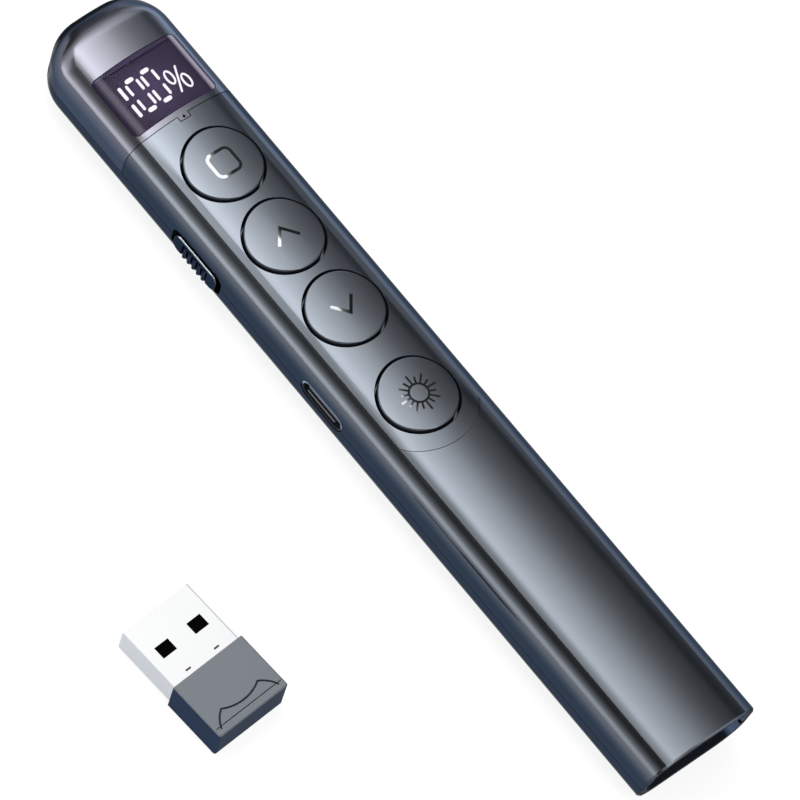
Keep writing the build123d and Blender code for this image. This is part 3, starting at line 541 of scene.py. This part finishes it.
iconLook = {"colour": (0.62, 0.63, 0.64), "rightShadeColour": (0.08, 0.08, 0.085), "roughness": 0.10,
            "ridge": (-0.0012, 0.0001), "leftTilt": -16.4, "rightTilt": -23.5}
spotlightLook = {**iconLook, "ridge": (-0.0024, -0.0012), "rightShadeColour": (0.14, 0.14, 0.145)}


def makeIcon(name, look):
    material, tree, shader = newMaterial(name, {"Metallic": 1.0, "Roughness": look["roughness"]})
    x, _, _ = objectPlace(tree, (-900, 0))
    left, right = math.radians(look["leftTilt"]), math.radians(look["rightTilt"])
    tilt = ramp(tree, x, *look["ridge"], (-600, 0), left, right)
    share = ramp(tree, x, *look["ridge"], (-600, 300))
    colour = mixColour(tree, share, look["colour"], look["rightShadeColour"], (-300, 300))
    feed(tree, shader.inputs["Base Color"], colour)
    normal = addNode(tree, "ShaderNodeCombineXYZ", (-200, 0))
    tree.links.new(mathNode(tree, "SINE", tilt, place=(-400, 100)), normal.inputs["X"])
    tree.links.new(mathNode(tree, "COSINE", tilt, place=(-400, -100)), normal.inputs["Z"])
    tree.links.new(normal.outputs[0], shader.inputs["Normal"])
    return material


iconBright = makeIcon("iconBright", iconLook)
spotlightBright = makeIcon("spotlightBright", spotlightLook)


# Readout: a smoked window with a painted reflection, a soft light strip, along each side, a painted glow on
# its outer face and on its dark sides, lit figures, and a panel with a painted purple glow behind them

displayLook = {
    "windowTint": (0.35, 0.34, 0.36), "windowGlow": (0.019, 0.013, 0.031), "windowRoughness": 0.02,
    # the window's sides are dark with a painted glow, and its outer face has a painted glow too
    "ior": 1.15, "gloss": 0.05, "sideColour": (0.004, 0.003, 0.006), "sideGlow": (0.022, 0.015, 0.036),
    "thin": 0.0006, "thinBlend": 0.0001,  # the painted glow lies on the outer face, down to this below the crown
    # painted reflection strip: where its light starts, is full, still full and ends, all along the width,
    # and its colour
    "strips": [(-0.00715, -0.0063, -0.0061, -0.0054, (0.100, 0.094, 0.125)),
               (0.0062, 0.0069, 0.00695, 0.0074, (0.33, 0.31, 0.38))],
    "panelColour": (0.01, 0.008, 0.014), "panelRoughness": 0.6,
    "glowEdge": (0.052, 0.045, 0.070), "glowMiddle": (0.146, 0.109, 0.217), "glowReach": 0.0065,
    # the painted glow fades towards the left and the right end of the panel: where from, where to, and what
    # is left
    "fades": [(-0.0043, -0.0062, 0.35), (0.0060, 0.0068, 0.55)],
    "figures": (1.0, 0.98, 1.0), "figureStrength": 2.7,
    "figureColour": (0.5, 0.5, 0.5), "figureRoughness": 0.5,
}


def makeWindow(look):
    material, tree, shader = newMaterial("lensTint", {
        "Roughness": look["windowRoughness"], "Transmission Weight": 1.0, "IOR": look["ior"],
        "Specular Tint": (0.0, 0.0, 0.0), "Coat Weight": look["gloss"], "Emission Strength": 1.0})
    x, _, z = objectPlace(tree)
    skin = casingLook["crownRadius"] - look["thin"]
    outside = ramp(tree, crownReach(tree, x, z), skin, skin + look["thinBlend"], (-900, -500))
    light = look["windowGlow"]
    for start, full, wane, end, colour in look["strips"]:
        strip = overlap(tree, [ramp(tree, x, start, full, (-1100, 0)),
                               fade(tree, x, wane, end, (-1100, -200))], (-900, 0))
        light = mixColour(tree, strip, light, colour, (-600, 0))
    light = mixColour(tree, outside, (0.0, 0.0, 0.0), light, (-450, 0))
    side = upright(tree)
    light = mixColour(tree, side, light, look["sideGlow"], (-300, 0))
    tint = mixColour(tree, side, look["windowTint"], look["sideColour"], (-300, 200))
    feed(tree, shader.inputs["Emission Color"], light)
    feed(tree, shader.inputs["Base Color"], tint)
    return material


def makeGlow(look):
    material, tree, shader = newMaterial("glowPanel", {
        "Base Color": look["panelColour"], "Roughness": look["panelRoughness"],
        "Specular IOR Level": 0.0, "Emission Strength": 1.0})
    low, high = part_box("display_frame")
    away = addNode(tree, "ShaderNodeVectorMath", (-900, 0), operation="DISTANCE")
    where = addNode(tree, "ShaderNodeTexCoord", (-1100, 0)).outputs["Object"]
    tree.links.new(where, away.inputs[0])
    away.inputs[1].default_value = [(a + b) / 2 for a, b in zip(low, high)]
    share = ramp(tree, away.outputs["Value"], 0.0, look["glowReach"], (-600, 0))
    glow = mixColour(tree, share, look["glowMiddle"], look["glowEdge"], (-500, 0))
    x, _, _ = objectPlace(tree, (-1300, -400))
    for start, end, left in look["fades"]:
        lit = ramp(tree, x, start, end, (-700, -400), 1.0, left)
        glow = mixColour(tree, lit, (0.0, 0.0, 0.0), glow, (-300, -200))
    feed(tree, shader.inputs["Emission Color"], glow)
    return material


lensTint = makeWindow(displayLook)
glowPanel = makeGlow(displayLook)
ledWhite, _, _ = newMaterial("ledWhite", {
    "Base Color": displayLook["figureColour"], "Roughness": displayLook["figureRoughness"],
    "Emission Color": displayLook["figures"], "Emission Strength": displayLook["figureStrength"]})
print("readout finishes made")


finishes = [
    (bodyCoat, ["back_shell", "front_shell"]),
    (headCoat, ["head_cover"]),
    (knobCoat, ["power_slider"]),
    (keyCoat, [key + "_button" for key in keyNames]),
    (iconBright, [key + "_icon" for key in keyNames[:3]]),
    (spotlightBright, ["spotlight_icon"]),
    (lensTint, ["display_lens"]),
    (glowPanel, ["display_frame"]),
    (ledWhite, ["display_digits"]),
    (plain["matBlack"], ["receiver_bay"]),
    (plain["boardGreen"], ["display_board", "main_board", "receiver_board"]),
    (plain["softBlack"], ["display_connector", "slide_switch_lever"]),
    (plain["softBlack"], [key + "_switch_plunger" for key in keyNames]),
    (plain["tongueGrey"], ["usb_port_tongue"]),
    (tongueBlack, ["receiver_tongue"]),
    (plain["chipBlack"], ["radio_chip", "charge_chip", "receiver_chip"]),
    (plain["chipBlack"], [key + "_switch_base" for key in keyNames]),
    (plain["whitePart"], ["indicator_led", "board_passives"]),
    (clearPlastic, ["indicator_light_pipe", "laser_lens"]),
    (plain["brassTurned"], ["laser_barrel"]),
    (plain["platedSteel"], ["laser_bezel", "board_screws", "clock_crystal"]),
    (plain["platedSteel"], ["slide_switch_frame", "battery_tabs"]),
    (portSteel, ["usb_port_shell"]),
    (plugSteel, ["receiver_shell"]),
    (plain["goldFlash"], ["usb_port_contacts", "receiver_contacts"]),
    (plain["batteryFoil"], ["battery_cell"]),
    (plain["foamGrey"], ["battery_pad"]),
    (capCoat, ["receiver_cap"]),
]
for material, names in finishes:
    for name in names:
        mesh = nodes[name].data
        mesh.materials.clear()
        mesh.materials.append(material)
print("finishes laid on")


# Floor, with a low round backdrop far behind it. Their glow is for the camera, gloss and glass alone

floorLook = {"reach": 5.5, "backdrop": 0.4, "sides": 96, "below": 0.0001,
             "colour": (0.22, 0.22, 0.22), "roughness": 0.9, "glowColour": (1.0, 1.0, 1.0), "glow": 0.82}


def makeFloor(look):
    mesh = bpy.data.meshes.new("floor")
    sides = look["sides"]
    turns = [math.tau * step / sides for step in range(sides)]
    corners = [(look["reach"] * math.cos(turn), look["reach"] * math.sin(turn)) for turn in turns]
    points = [(x, y, height) for height in (0.0, look["backdrop"]) for x, y in corners]
    walls = [(step, (step + 1) % sides, sides + (step + 1) % sides, sides + step) for step in range(sides)]
    mesh.from_pydata(points, [], [tuple(range(sides))] + walls)
    floor = bpy.data.objects.new("floor", mesh)
    floor.location.z = cadBox[0][2] - look["below"]
    bpy.context.scene.collection.objects.link(floor)
    material, tree, shader = newMaterial("floorPale", {
        "Base Color": look["colour"], "Roughness": look["roughness"],
        "Specular IOR Level": 0.0, "Emission Color": look["glowColour"]})
    rays = addNode(tree, "ShaderNodeLightPath", (-900, -300))
    seen = rays.outputs["Is Camera Ray"]
    for kind in ("Is Glossy Ray", "Is Transmission Ray"):
        seen = mathNode(tree, "MAXIMUM", seen, rays.outputs[kind], (-600, -300))
    strength = mathNode(tree, "MULTIPLY", seen, look["glow"], (-300, -300))
    tree.links.new(strength, shader.inputs["Emission Strength"])
    mesh.materials.append(material)


makeFloor(floorLook)


# Studio surround: a soft box overhead with a crisp left edge, a pale band along the left horizon,
# a narrow dark gap on the right, a bright edge and an even card towards the head, and a grey wall
# beyond the tail

surroundLook = {
    # angle across the clicker from straight up, positive to the right, in degrees, and strength there
    "across": [(-90, 3.2), (-84, 2.0), (-78, 1.85), (-72, 2.2), (-66, 1.55), (-60, 0.95), (-45, 0.33),
               (-32, 0.08), (-24, 0.075), (-18, 0.14), (-13, 0.14), (-9.5, 0.2), (-7.4, 1.4), (-5.5, 3.4),
               (-4.2, 4.2), (0, 3.2), (6, 2.55), (15, 1.83), (25, 0.99), (35, 0.52), (43, 0.34), (49, 0.28),
               (53, 0.01), (56.5, 0.02), (60, 1.05), (65, 1.2), (75, 1.38), (90, 1.6)],
    # share of that along the clicker, by the direction's reach from -1 at the tail to 1 at the head
    "along": [(0.2, 0.8), (0.25, 0.98), (0.27, 1.1), (0.293, 1.27), (0.303, 1.72), (0.32, 1.8), (0.42, 1.3),
              (0.6, 1.1), (0.68, 0.7), (0.8, 0.1), (0.9, 0.0)],
    # an even card beyond the head, by the same reach
    "headCard": [(0.297, 0.0), (0.305, 0.3), (0.38, 0.3), (0.46, 1.4), (0.6, 1.6), (0.7, 1.5), (0.8, 1.2),
                 (0.88, 0.95), (0.93, 0.5), (0.96, 0.2), (1.0, 0.05)],
    "headFade": (30, 80), "headLeft": 0.3,  # the card fades to the right, and this share of it is left
    "tailWall": 0.55, "tailWallAt": (-0.35, -0.65),  # the wall's strength, and where it rises, by that reach
    "tint": (0.985, 1.0, 1.015),
}


def curveNode(tree, value, low, high, points, place):
    share = addNode(tree, "ShaderNodeMapRange", place)
    for label, number in (("Value", value), ("From Min", low), ("From Max", high)):
        feed(tree, share.inputs[label], number)
    curve = addNode(tree, "ShaderNodeFloatCurve", (place[0] + 200, place[1]))
    top = max(strength for _, strength in points)
    spots = curve.mapping.curves[0].points
    spots[0].location = (0.0, points[0][1] / top)
    spots[1].location = (1.0, points[-1][1] / top)
    for at, strength in points:
        spots.new((at - low) / (high - low), strength / top)
    for spot in spots:
        spot.handle_type = "VECTOR"
    curve.mapping.update()
    tree.links.new(share.outputs["Result"], curve.inputs["Value"])
    return mathNode(tree, "MULTIPLY", curve.outputs[0], top, (place[0] + 500, place[1]))


def makeSurround(look):
    world = bpy.data.worlds.new("studioSurround")
    world.use_nodes = True
    bpy.context.scene.world = world
    tree = world.node_tree
    background = tree.nodes["Background"]
    where = addNode(tree, "ShaderNodeTexCoord", (-1400, 0)).outputs["Generated"]
    x, y, z = splitAxes(tree, where, (-1200, 0))
    angle = mathNode(tree, "ARCTAN2", x, z, (-1000, 100))
    turns = [(math.radians(degrees), strength) for degrees, strength in look["across"]]
    across = curveNode(tree, angle, -math.pi, math.pi, turns, (-850, 100))
    along = curveNode(tree, y, -1.0, 1.0, look["along"], (-850, -200))
    wall = ramp(tree, y, *look["tailWallAt"], (-850, -500), 0.0, look["tailWall"])
    card = curveNode(tree, y, -1.0, 1.0, look["headCard"], (-850, -700))
    start, end = (math.radians(degrees) for degrees in look["headFade"])
    cardShare = ramp(tree, angle, start, end, (-850, -900), 1.0, look["headLeft"])
    strength = mathNode(tree, "ADD", overlap(tree, [across, along], (-200, 0)), wall, (0, 0))
    strength = mathNode(tree, "ADD", strength, overlap(tree, [card, cardShare], (0, -300)), (150, 0))
    tree.links.new(strength, background.inputs["Strength"])
    feed(tree, background.inputs["Color"], look["tint"])


makeSurround(surroundLook)
print("floor and surround made")


# Camera: right, up and back are its own axes

cameraLook = {
    "place": (-0.513505, -0.345624, 1.129447), "lens": 413.96, "sensor": 36, "farthest": 20,
    "right": (0.766579, -0.621694, 0.160789), "up": (0.501707, 0.736130, 0.454315),
    "back": (-0.400806, -0.267600, 0.876211),
}


def makeCamera(look):
    camera = bpy.data.objects.new("camera", bpy.data.cameras.new("camera"))
    camera.data.sensor_width = look["sensor"]
    camera.data.lens = look["lens"]
    camera.data.clip_end = look["farthest"]
    turn = Matrix([look["right"], look["up"], look["back"]]).transposed()
    camera.matrix_world = Matrix.Translation(Vector(look["place"])) @ turn.to_4x4()
    bpy.context.scene.collection.objects.link(camera)
    bpy.context.scene.camera = camera


makeCamera(cameraLook)
bpy.context.scene.view_settings.view_transform = "Standard"
